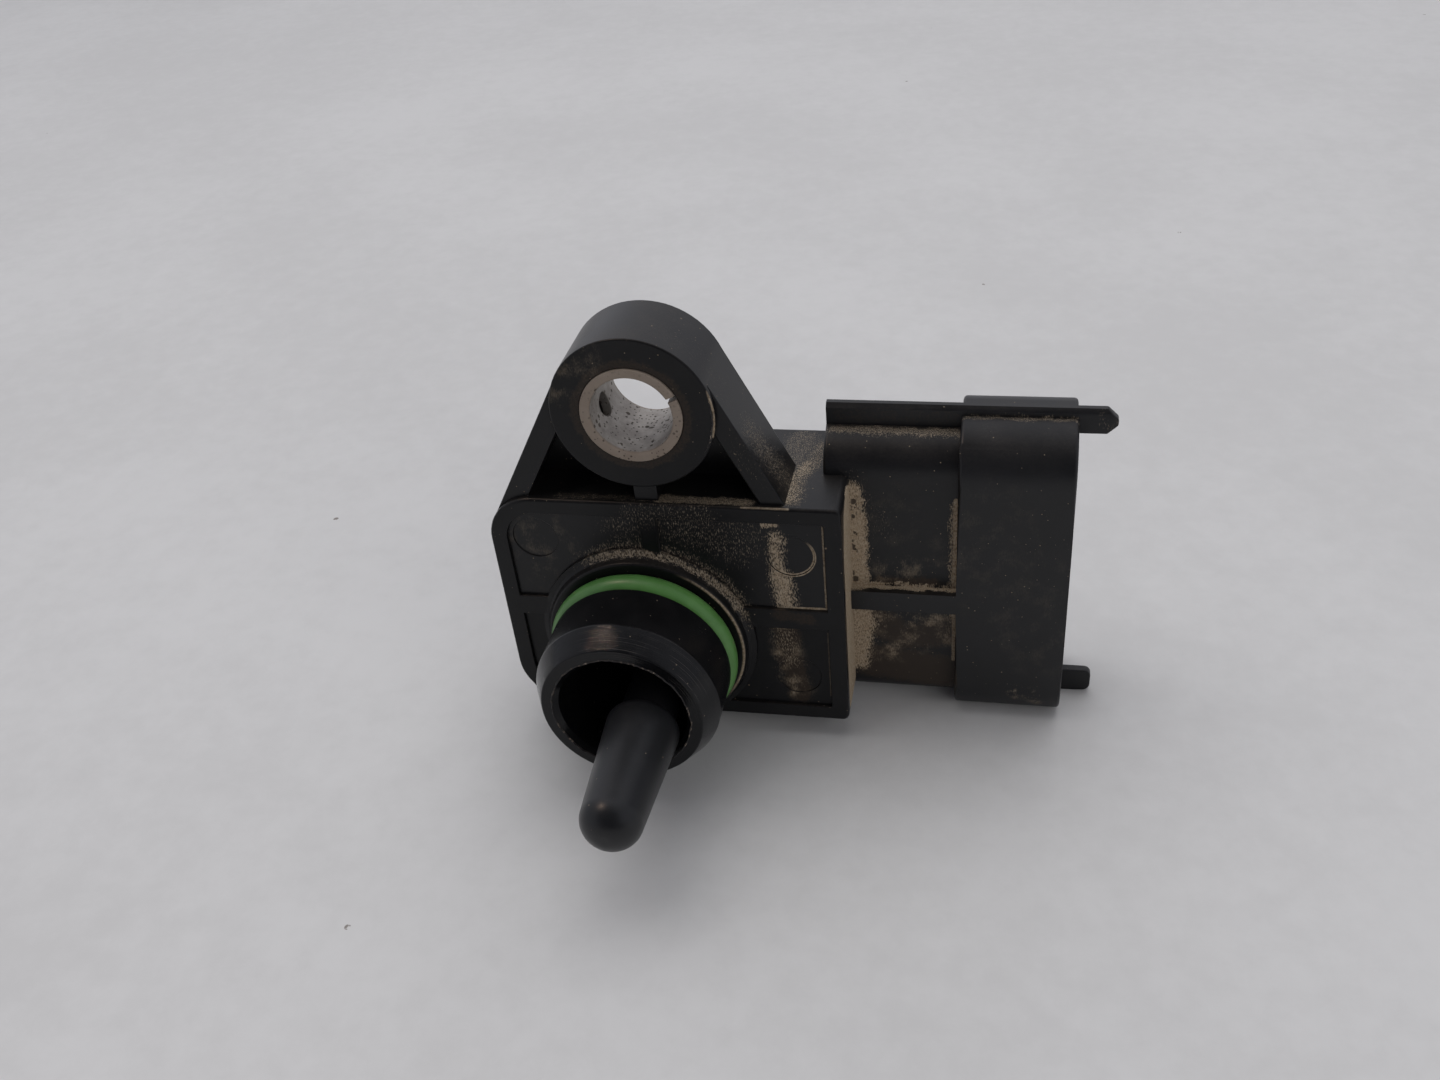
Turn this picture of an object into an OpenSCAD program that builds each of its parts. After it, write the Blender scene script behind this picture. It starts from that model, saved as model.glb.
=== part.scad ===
// Manifold pressure and temperature sensor of a petrol engine.
// X points along the electrical connector, Y points from the intake manifold into the sensor,
// Z points from the sensing port up to the mounting bush. The origin lies on the axis of the
// port, in the flange face that seats on the manifold.

/* [Body] */
// Left edge of the body, from the port axis
body_left = 12.6; // [11:0.1:18]
// Right edge of the body, from the port axis
body_right = 17.1; // [14:0.1:22]
// Top edge of the body, from the port axis
body_top = 14.1; // [12:0.1:19]
// Bottom edge of the body, from the port axis
body_bottom = 8.2; // [7.5:0.1:12]
// Depth of the body behind the flange face
body_depth = 12.2; // [10.5:0.1:16]
// Radius of the top left corner
corner_top_left = 4.2; // [1:0.1:4.6]
// Radius of the bottom left corner
corner_bottom_left = 4.5; // [1:0.1:5]
// Thickness of the flange plate at the left
plate_t = 2.2; // [1.8:0.1:4]
// How far the body behind the flange plate lies in from its left edge
rear_inset = 2; // [0.5:0.1:3]
// Radius of the two right corners
corner_right = 0.6; // [0.3:0.1:1.5]
// Thickness of the side walls of the body
wall = 1.6; // [1.4:0.1:2.4]
// Thickness of the wall behind the flange face
face_wall = 2.2; // [1.6:0.1:3]

/* [Front face] */
// Width of the raised border around the flange face
border_w = 1.45; // [0.8:0.05:2.5]
// Depth of the recessed panels
panel_depth = 0.3; // [0.1:0.05:0.6]
// Lower edge of the level rib between the panels
face_rib_low = 1.9; // [0:0.1:3]
// Height of the level rib between the panels
face_rib_h = 2; // [1:0.1:3]
// Radius of the round ejector marks
ejector_r = 1.95; // [1:0.05:2.1]
// Depth of the round ejector marks
ejector_depth = 0.1; // [0.05:0.05:0.2]

/* [Mounting ear] */
// Sideways place of the bolt axis, from the port axis
bolt_x = 1.2; // [-2:0.1:4]
// Height of the bolt axis above the port axis
bolt_z = 22.3; // [21:0.1:30]
// Radius of the boss around the bush
boss_r = 6.6; // [5.6:0.1:8]
// Depth of the ear behind the flange face
ear_depth = 6.6; // [5:0.1:9]
// Thickness of the two flanks of the ear
flank_t = 1.8; // [1:0.1:2.4]
// Depth of the pockets between boss and flanks
pocket_depth = 4.6; // [2:0.1:4.8]
// How far the flanks and the web lie behind the flange face
flank_recess = 0.55; // [0:0.05:1]
// Thickness of the web between boss and flange
web_t = 2; // [1:0.1:3]

/* [Mounting bush] */
// Diameter of the bolt hole
bolt_d = 6.6; // [5.4:0.1:7.2]
// Thickness of the rolled steel
bush_wall = 0.8; // [0.6:0.05:1.2]
// How far the bush stands out of the boss at each end
bush_proud = 0.15; // [0.05:0.05:0.4]
// Width of the rolling seam
seam_w = 0.35; // [0.1:0.05:0.6]
// Diameter of the round lock hole in the bush
lock_hole_d = 2; // [1:0.1:2.6]

/* [Port] */
// Radius of the collar behind the seal ring
collar_r = 8.7; // [8.3:0.1:10]
// Height of the collar above the flange face
collar_h = 0.95; // [0.8:0.05:2]
// Size of the fillet at the foot of the collar
collar_foot = 0.75; // [0.3:0.05:0.75]
// Thickness of the seal ring
ring_d = 2; // [1.6:0.1:2.4]
// Outer radius of the seal ring
ring_r = 8.15; // [8:0.05:9]
// Radius of the cylindrical land in front of the seal ring
land_r = 7.8; // [7.2:0.1:8]
// Length of the port from the flange face to its mouth
port_len = 9.75; // [8:0.05:14]
// Length of the lead-in taper at the mouth
taper_len = 2.05; // [1:0.05:3]
// Outer radius of the mouth
mouth_r = 6.75; // [6.3:0.05:7.1]
// Radius of the air passage in the port
port_bore_r = 5.4; // [5.35:0.05:5.6]

/* [Temperature probe] */
// Sideways place of the probe, from the port axis
probe_x = 1.8; // [-2:0.1:2]
// Height of the probe, from the port axis
probe_z = -1; // [-1.4:0.1:1.4]
// Length of the probe in front of the flange face
probe_len = 22.1; // [16:0.1:30]
// Radius of the probe at the port mouth
probe_root_r = 3.05; // [2.6:0.05:3.1]
// Radius of the probe near its tip
probe_tip_r = 2.5; // [2.2:0.05:2.8]
// Radius of the stem that holds the probe in the port
stem_r = 2.3; // [2:0.05:2.5]
// Radius of the hole in the probe
probe_bore_r = 1.3; // [1.2:0.05:1.5]

/* [Connector] */
// Place of the middle of the connector behind the flange face
conn_y = 8.75; // [8.2:0.05:11]
// Thickness of the connector shroud, front to back
shroud_t = 9.4; // [9:0.1:12]
// Lowest point of the shroud below the port axis
shroud_bottom = 10.3; // [9:0.1:13]
// Highest point of the shroud above the port axis
shroud_top = 18.1; // [16:0.1:21]
// Where the shroud begins, right of the port axis
shroud_start = 25.9; // [24:0.1:28]
// Where the shroud ends, right of the port axis
shroud_end = 35; // [33:0.1:40]
// How far the neck lies inside the outline of the shroud
neck_step = 1.1; // [0.6:0.1:1.4]
// Wall thickness of the shroud
shroud_wall = 1.5; // [1:0.1:1.8]
// Depth of the socket in the shroud
socket_depth = 13; // [10:0.1:15]
// How far the rail stands above the shroud
rail_h = 0.75; // [0.5:0.05:2]
// Thickness of the rail, front to back
rail_t = 0.8; // [0.8:0.1:2]
// How far the rail reaches past the end of the shroud
rail_reach = 3; // [1:0.1:5]

/* [Terminals] */
// Number of terminals in the connector
terminal_count = 4; // [2:1:4]
// Distance between neighbouring terminals
terminal_pitch = 5; // [4:0.1:5.2]
// Width of each terminal blade
terminal_w = 1.5; // [1:0.1:2]
// Thickness of each terminal blade
terminal_t = 0.8; // [0.5:0.05:1]
// How far the blade tips stay behind the mouth of the shroud
tip_recess = 4.6; // [4.2:0.1:8]

/* [Electronics] */
// Thickness of the circuit board
board_t = 1; // [0.6:0.1:1.6]
// Room between the front wall and the circuit board
board_room = 4.2; // [3.6:0.1:5]
// Width of the ledge that carries the circuit board
ledge_w = 1; // [0.6:0.1:1.5]
// Play around the circuit board
board_play = 0.25; // [0.1:0.05:0.5]
// Sideways place of the pressure cell, from the port axis
cell_x = -2.6; // [-3:0.1:-2]
// Height of the pressure cell, from the port axis
cell_z = 2.4; // [2:0.1:3]
// Radius of the pressure cell
cell_r = 2.7; // [2.4:0.1:3]

/* [Back cover] */
// Thickness of the back cover
cover_t = 1.3; // [0.8:0.1:2]
// Width of the seat that carries the back cover
cover_seat = 0.85; // [0.6:0.05:1.1]
// Width of the adhesive joint around the back cover
glue_w = 0.5; // [0.3:0.05:0.6]

/* [Hidden] */
$fn = 64;

// Extra length of a cutter past the face that it opens
cut = 1;
// Places along the depth of the body
board_front = face_wall + board_room;
board_back = board_front + board_t;
cover_front = body_depth - cover_t - 0.2;
// Seal ring and its groove
groove_w = ring_d + 0.1;
groove_y = -collar_h - groove_w / 2;
ring_mid_r = ring_r - ring_d / 2;
groove_r = ring_mid_r - ring_d / 2 - 0.02;
mouth_edge = 0.4;
port_floor = 0.4;
passage_r = 0.8;
// Thickness of the seal in front of the pressure cell and of the cell's base
seal_h = 0.8;
cell_base = 1;
// Ear
bush_r = bolt_d / 2 + bush_wall;
web_x = bolt_x + 0.1;
face_rib_t = web_t - 0.5;
// How far the flanks dip under the boss where they meet it
flank_dip = 0.02;
foot_left = [-body_left + 0.25, body_top - 2.7];
foot_right = [body_right - 4.3, body_top - 0.4];
seam_angle = 25;
lock_hole_angle = 197;
// Probe
shoulder_y = -port_len + 0.35;
bead_y = -probe_len + 2.6;
bead_len = 2.2;
bead_r = probe_bore_r - 0.1;
lead_r = 0.2;
lead_offset = 0.7;
// Connector
shroud_front = conn_y - shroud_t / 2;
shroud_back = conn_y + shroud_t / 2;
conn_z = (shroud_top - shroud_bottom) / 2;
socket_floor = shroud_end - socket_depth;
socket_step = shroud_start + 0.8;
neck_wall = 1.2;
neck_start = body_right - wall - 0.5;
outer_radii = [3, 2.5, 2.5, 4.2];
rail_bevel = 0.35;
tab_reach = rail_reach - 0.3;
tab_h = 2.3;
bar_low = 1.15;
bar_h = 1.95;
// Terminals
terminal_inside = body_right - wall - 2.6;
terminal_tip = shroud_end - tip_recess;
terminal_front = conn_y - terminal_t / 2;
terminal_back = conn_y + terminal_t / 2;
terminal_slot = body_right - wall - cut;
chip_h = 0.9;
chip_w = 1.6;

// Extrudes an outline drawn in X and Z from y0 to y1
module along_y(y0, y1) {
    translate([0, y1, 0])
        rotate([90, 0, 0])
            linear_extrude(y1 - y0)
                children();
}

// Extrudes an outline drawn in Y and Z from x0 to x1
module along_x(x0, x1) {
    translate([x0, 0, 0])
        rotate([90, 0, 90])
            linear_extrude(x1 - x0)
                children();
}

// Turns a profile of radius and Y around the Y axis
module turned() {
    rotate([-90, 0, 0])
        rotate_extrude()
            children();
}

// Round bar along Y
module bar_y(r, y0, y1) {
    translate([0, y0, 0])
        rotate([-90, 0, 0])
            cylinder(r = r, h = y1 - y0);
}

// Rectangle with its own radius at each corner: bottom left, bottom right, top right, top left
module plate(x0, x1, z0, z1, r) {
    polygon([
        [x0 + r[0], z0], [x1 - r[1], z0], [x1, z0 + r[1]], [x1, z1 - r[2]],
        [x1 - r[2], z1], [x0 + r[3], z1], [x0, z1 - r[3]], [x0, z0 + r[0]]
    ]);
    translate([x0 + r[0], z0 + r[0]]) circle(r[0]);
    translate([x1 - r[1], z0 + r[1]]) circle(r[1]);
    translate([x1 - r[2], z1 - r[2]]) circle(r[2]);
    translate([x0 + r[3], z1 - r[3]]) circle(r[3]);
}

// Outline of the body from its left edge, drawn in by the given margin
module outline(left, margin) {
    plate(-left + margin, body_right - margin, -body_bottom + margin, body_top - margin, [
        max(corner_bottom_left - margin, 0.3), max(corner_right - margin, 0.3),
        max(corner_right - margin, 0.3), max(corner_top_left - margin, 0.3)
    ]);
}

// Outline of the flange plate
module flange_outline(margin) {
    outline(body_left, margin);
}

// Outline of the body behind the flange plate
module rear_outline(margin) {
    outline(body_left - rear_inset, margin);
}

// Direction from the bolt axis to the point where a line from p touches the boss
function flank_dir(p, side) =
    let (d = p - [bolt_x, bolt_z])
    let (a = atan2(d[1], d[0]) + side * acos(boss_r / norm(d)))
    [cos(a), sin(a)];

// Outline of the flanks of the ear up to the boss, drawn in by the given margin
module flank_outline(margin) {
    left = flank_dir(foot_left, -1);
    right = flank_dir(foot_right, 1);
    centre = [bolt_x, bolt_z];
    reach = boss_r - margin - flank_dip;
    polygon([
        foot_left - margin * left, foot_right - margin * right,
        centre + reach * right, centre + reach * left
    ]);
}

// Ear with its flanks, pockets, web and boss
module ear() {
    difference() {
        along_y(flank_recess, ear_depth) flank_outline(0);
        along_y(-cut, pocket_depth)
            difference() {
                flank_outline(flank_t);
                translate([-body_left, -body_bottom])
                    square([body_left + body_right, body_bottom + body_top]);
                translate([web_x - web_t / 2, 0]) square([web_t, bolt_z]);
            }
    }
    translate([bolt_x, 0, bolt_z]) bar_y(boss_r, 0, ear_depth);
}

// Port with its collar, groove, land, taper and mouth
module port() {
    land_y = -port_len + taper_len;
    edge = 0.15;
    turned()
        polygon([
            [0, 1.5], [collar_r, 1.5], [collar_r, -collar_h + edge],
            [collar_r - edge, -collar_h], [groove_r, -collar_h],
            [groove_r, -collar_h - groove_w], [land_r - edge, -collar_h - groove_w],
            [land_r, -collar_h - groove_w - edge], [land_r, land_y],
            [mouth_r, -port_len], [0, -port_len]
        ]);
    // Fillet at the foot of the collar
    intersection() {
        turned()
            polygon([
                [0, panel_depth + 0.1], [collar_r + collar_foot, panel_depth + 0.1],
                [collar_r + collar_foot, 0],
                [collar_r + 0.45 * collar_foot, -0.15 * collar_foot],
                [collar_r + 0.15 * collar_foot, -0.45 * collar_foot],
                [collar_r, -collar_foot], [0, -collar_foot]
            ]);
        along_y(-cut, cut) flange_outline(0.2);
    }
}

// Air passage of the port, with its countersunk mouth
module port_bore() {
    turned()
        polygon([
            [0, port_floor], [port_bore_r, port_floor], [port_bore_r, -port_len + mouth_edge],
            [port_bore_r + mouth_edge, -port_len], [port_bore_r + mouth_edge, -port_len - cut],
            [0, -port_len - cut]
        ]);
    translate([cell_x, 0, cell_z]) bar_y(passage_r, -cut, face_wall + cut);
    translate([probe_x, 0, probe_z]) bar_y(stem_r, -cut, face_wall + cut);
}

// Recessed panels of the flange face, with their ejector marks
module face_panels() {
    mark_x = body_right - border_w - 2.8;
    marks = [
        [mark_x, body_top - 4.8], [mark_x, -3.5], [-body_left + 3.85, body_top - 4.1]
    ];
    difference() {
        union() {
            along_y(-cut, panel_depth)
                difference() {
                    flange_outline(border_w);
                    translate([-body_left, face_rib_low])
                        square([body_left + body_right, face_rib_h]);
                    translate([web_x - face_rib_t / 2, 0]) square([face_rib_t, body_top]);
                }
            for (m = marks)
                translate([m[0], 0, m[1]]) bar_y(ejector_r, -cut, panel_depth + ejector_depth);
        }
        bar_y(collar_r + collar_foot, -2 * cut, 2 * cut);
    }
}

// Outline of the connector in Y and Z, drawn in by the given margin
module connector_outline(margin) {
    plate(shroud_front + margin, shroud_back - margin,
        -shroud_bottom + margin, shroud_top - margin,
        [for (r = outer_radii) max(r - margin, 0.3)]);
}

// Rail along the top of the connector, with a pointed end
module rail() {
    z0 = shroud_top - neck_step - 0.3;
    z1 = shroud_top + rail_h;
    x1 = shroud_end + rail_reach;
    nose = 0.8;
    y0 = conn_y - rail_t / 2;
    y1 = conn_y + rail_t / 2;
    intersection() {
        along_x(neck_start, x1)
            polygon([
                [y0, z0], [y1, z0], [y1, z1], [y0 + rail_bevel, z1], [y0, z1 - rail_bevel]
            ]);
        along_y(y0 - cut, y1 + cut)
            polygon([
                [neck_start, z0], [x1 - nose, z0], [x1, z0 + nose], [x1, z1 - nose],
                [x1 - nose, z1], [neck_start, z1]
            ]);
    }
}

// Neck, shroud, rail and front bar of the connector
module connector() {
    along_x(neck_start, shroud_start + 0.1) connector_outline(neck_step);
    along_x(shroud_start, shroud_end) connector_outline(0);
    rail();
    // Level bar across the front of the neck, flush with the shroud
    translate([neck_start, shroud_front, bar_low])
        cube([shroud_start - neck_start + 0.1, neck_step + cut, bar_h]);
}

// Tab that reaches out of the bottom wall of the shroud
module tab() {
    along_y(conn_y - rail_t / 2, conn_y + rail_t / 2)
        plate(shroud_end - 0.1, shroud_end + tab_reach, -shroud_bottom, -shroud_bottom + tab_h,
            [0.05, 0.7, 0.6, 0.3]);
}

// Socket, wide in the shroud and narrower in the neck
module socket() {
    along_x(socket_step, shroud_end + cut) connector_outline(shroud_wall);
    along_x(socket_floor, socket_step + cut) connector_outline(neck_step + neck_wall);
}

// Height of the terminal with the given number, counted from below
function terminal_z(i) = conn_z + (i - (terminal_count + 1) / 2) * terminal_pitch;

// Outline of a terminal blade in X and Y, with its leg to the circuit board
module terminal_outline() {
    point = 0.9;
    tip_half = terminal_t / 4;
    polygon([
        [terminal_inside, board_back], [terminal_inside + terminal_t, board_back],
        [terminal_inside + terminal_t, terminal_front],
        [terminal_tip - point, terminal_front], [terminal_tip, conn_y - tip_half],
        [terminal_tip, conn_y + tip_half], [terminal_tip - point, terminal_back],
        [terminal_inside, terminal_back]
    ]);
}

// Terminal blade with the given number
module terminal(i) {
    translate([0, 0, terminal_z(i) - terminal_w / 2])
        linear_extrude(terminal_w)
            terminal_outline();
}

// Outline of the circuit board and of the room around it
module board_outline(play) {
    rear_outline(wall + play);
}

// Moulded housing
module housing() {
    color("#232427") {
        difference() {
            union() {
                along_y(0, plate_t) flange_outline(0);
                along_y(0, body_depth) rear_outline(0);
                ear();
                port();
                connector();
            }
            // Room for the electronics, its ledge and the seat of the cover
            along_y(face_wall, board_front) board_outline(ledge_w);
            along_y(board_front, cover_front + cut) board_outline(0);
            along_y(cover_front, body_depth + cut) rear_outline(wall - cover_seat);
            port_bore();
            face_panels();
            socket();
            // Seat of the bush
            translate([bolt_x, 0, bolt_z]) bar_y(bush_r, -cut, ear_depth + cut);
            // Slots of the terminals
            for (i = [1 : terminal_count])
                translate([terminal_slot, terminal_front, terminal_z(i) - terminal_w / 2])
                    cube([socket_floor + cut - terminal_slot, terminal_t, terminal_w]);
        }
        tab();
    }
}

// Rolled steel bush with its seam and its lock hole
module mounting_bush() {
    color("#9b9a97")
        translate([bolt_x, 0, bolt_z])
            difference() {
                bar_y(bush_r, -bush_proud, ear_depth + bush_proud);
                bar_y(bolt_d / 2, -bush_proud - cut, ear_depth + bush_proud + cut);
                rotate([0, -seam_angle, 0])
                    translate([0, -cut, -seam_w / 2])
                        cube([bush_r + cut, ear_depth + 2 * cut, seam_w]);
                rotate([0, -lock_hole_angle, 0])
                    translate([0, ear_depth / 2, 0])
                        rotate([0, 90, 0])
                            cylinder(d = lock_hole_d, h = bush_r + cut);
            }
}

// Seal ring of green rubber
module port_seal_ring() {
    color("#3f7d3c")
        translate([0, groove_y, 0])
            turned()
                translate([ring_mid_r, 0]) circle(ring_d / 2);
}

// Points of a round corner of the probe profile, from angle a0 to a1
function arc(centre, r, a0, a1, steps) =
    [for (i = [0 : steps]) centre + r * [cos(a0 + (a1 - a0) * i / steps),
                                         sin(a0 + (a1 - a0) * i / steps)]];

// Moulded sleeve of the temperature probe, closed at its tip
module probe_sleeve() {
    tip_round = 2.2;
    shoulder = 0.9;
    color("#2c2d30")
        translate([probe_x, 0, probe_z])
            turned()
                polygon(concat(
                    [[probe_bore_r, face_wall], [stem_r, face_wall], [stem_r, shoulder_y]],
                    arc([probe_root_r - shoulder, shoulder_y - shoulder], shoulder, 70, 0, 5),
                    arc([probe_tip_r - tip_round, -probe_len + tip_round], tip_round, 0, -90, 8),
                    [[0, -probe_len], [0, bead_y], [probe_bore_r, bead_y]]
                ));
}

// Glass-coated thermistor bead at the end of the probe
module thermistor() {
    color("#b5542c")
        translate([probe_x, 0, probe_z]) bar_y(bead_r, bead_y, bead_y + bead_len);
}

// Wire from the thermistor to the circuit board
module thermistor_lead(side) {
    color("#c9c3b4")
        translate([probe_x + side * lead_offset, 0, probe_z])
            bar_y(lead_r, bead_y + bead_len, board_front);
}

// Circuit board on its ledge
module circuit_board() {
    color("#2f6b46")
        along_y(board_front, board_back) board_outline(board_play);
}

// Cup of the pressure cell, open towards the port
module pressure_cell() {
    well_r = 1.6;
    color("#d8d2c4")
        translate([cell_x, 0, cell_z])
            difference() {
                bar_y(cell_r, face_wall + seal_h, board_front);
                bar_y(well_r, face_wall + seal_h - cut, board_front - cell_base);
            }
}

// Silicon die that bends under the manifold pressure
module pressure_die() {
    die_w = 1.7;
    die_t = 0.6;
    color("#4a4f5c")
        translate([cell_x - die_w / 2, board_front - cell_base - die_t, cell_z - die_w / 2])
            cube([die_w, die_t, die_w]);
}

// Elastic seal between the front wall and the pressure cell
module cell_seal() {
    color("#c9c9c4")
        translate([cell_x, 0, cell_z])
            difference() {
                bar_y(cell_r - 0.3, face_wall, face_wall + seal_h);
                bar_y(passage_r + 0.5, face_wall - cut, face_wall + seal_h + cut);
            }
}

// Chip that turns the signal of the die into the output voltage
module signal_chip() {
    color("#1d1d1f")
        translate([-body_left + rear_inset + wall + 2.4, board_back, 0]) cube([5, 1.3, 4]);
}

// Small block on the circuit board, from which capacitors and resistors are made
module surface_block(x, z, colour) {
    color(colour)
        translate([x - chip_w / 2, board_back, z - chip_w / 4])
            cube([chip_w, chip_h, chip_w / 2]);
}

// Filter capacitor beside the terminal with the same number
module capacitor(i) {
    surface_block(terminal_inside - 2.2, terminal_z(i), "#a8845c");
}

// Resistor beside a lead of the thermistor
module resistor(side) {
    surface_block(probe_x + side * 1.8, probe_z - 2.4, "#202124");
}

// Flat back cover
module back_cover() {
    color("#27282b")
        along_y(cover_front, cover_front + cover_t) rear_outline(wall - cover_seat + glue_w);
}

// Adhesive in the joint around the back cover
module cover_adhesive() {
    color("#1a1a1c")
        along_y(cover_front, cover_front + cover_t - 0.2)
            difference() {
                rear_outline(wall - cover_seat);
                rear_outline(wall - cover_seat + glue_w);
            }
}

housing();
mounting_bush();
port_seal_ring();
probe_sleeve();
thermistor();
thermistor_lead(-1);  // thermistor_lead_left
thermistor_lead(1);  // thermistor_lead_right
circuit_board();
pressure_cell();
pressure_die();
cell_seal();
signal_chip();
terminal(1);  // terminal_1
terminal(2);  // terminal_2
terminal(3);  // terminal_3
terminal(4);  // terminal_4
capacitor(1);  // capacitor_1
capacitor(2);  // capacitor_2
capacitor(3);  // capacitor_3
capacitor(4);  // capacitor_4
resistor(-1);  // resistor_left
resistor(1);  // resistor_right
back_cover();
cover_adhesive();
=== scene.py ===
"""Looks of the manifold pressure and temperature sensor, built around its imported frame."""

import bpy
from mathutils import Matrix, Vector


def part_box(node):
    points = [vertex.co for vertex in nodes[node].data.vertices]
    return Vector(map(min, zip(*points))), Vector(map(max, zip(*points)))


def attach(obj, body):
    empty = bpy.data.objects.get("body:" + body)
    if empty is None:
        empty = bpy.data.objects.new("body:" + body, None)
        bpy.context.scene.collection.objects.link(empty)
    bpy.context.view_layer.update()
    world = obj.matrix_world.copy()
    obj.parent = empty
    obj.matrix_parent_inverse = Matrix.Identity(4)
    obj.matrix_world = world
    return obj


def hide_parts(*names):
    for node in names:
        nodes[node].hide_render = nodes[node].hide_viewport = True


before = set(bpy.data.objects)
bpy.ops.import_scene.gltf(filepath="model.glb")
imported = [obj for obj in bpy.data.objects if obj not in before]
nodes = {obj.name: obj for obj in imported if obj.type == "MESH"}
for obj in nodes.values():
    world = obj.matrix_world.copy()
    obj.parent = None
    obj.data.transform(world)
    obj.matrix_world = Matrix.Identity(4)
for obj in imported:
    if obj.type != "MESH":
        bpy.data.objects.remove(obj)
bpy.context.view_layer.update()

import math
import random

import bmesh
import bpy
from mathutils import Matrix, Vector

MM = 0.001
scene = bpy.context.scene
random.seed(7)

# Sizes of the part that the looks need, in mm
BODY_LEFT, BODY_RIGHT, BODY_TOP, BODY_BOTTOM = -12.6, 17.1, 14.1, -8.2
BODY_BACK = 12.2
BOLT_X, BOLT_Z, BOSS_R, BUSH_R = 1.2, 22.3, 6.6, 4.1
SHROUD_START, SHROUD_END = 25.9, 35.0
FLOOR_Z = -10.3
PORT_LEN, MOUTH_R = 9.75, 5.8
PROBE_X, PROBE_Z, PROBE_LEN = 1.8, -1.0, 22.1
RING_MID_R, RING_TUBE_R, RING_Y = 7.15, 1.0, -2.0


# ---------------------------------------------------------------- camera

def make_camera():
    right = Vector((0.9771, 0.1945, -0.0866)).normalized()
    view = Vector((-0.2081, 0.7859, -0.5823)).normalized()
    up = right.cross(view).normalized()
    data = bpy.data.cameras.new("camera")
    data.sensor_width = 36
    data.lens = 33.70
    data.clip_start = 0.005
    data.clip_end = 20
    cam = bpy.data.objects.new("camera", data)
    scene.collection.objects.link(cam)
    m = Matrix((right, up, -view)).transposed().to_4x4()
    m.translation = Vector((29.88, -85.65, 74.31)) * MM
    cam.matrix_world = m
    scene.camera = cam


make_camera()


# ---------------------------------------------------------------- node helpers

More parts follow.
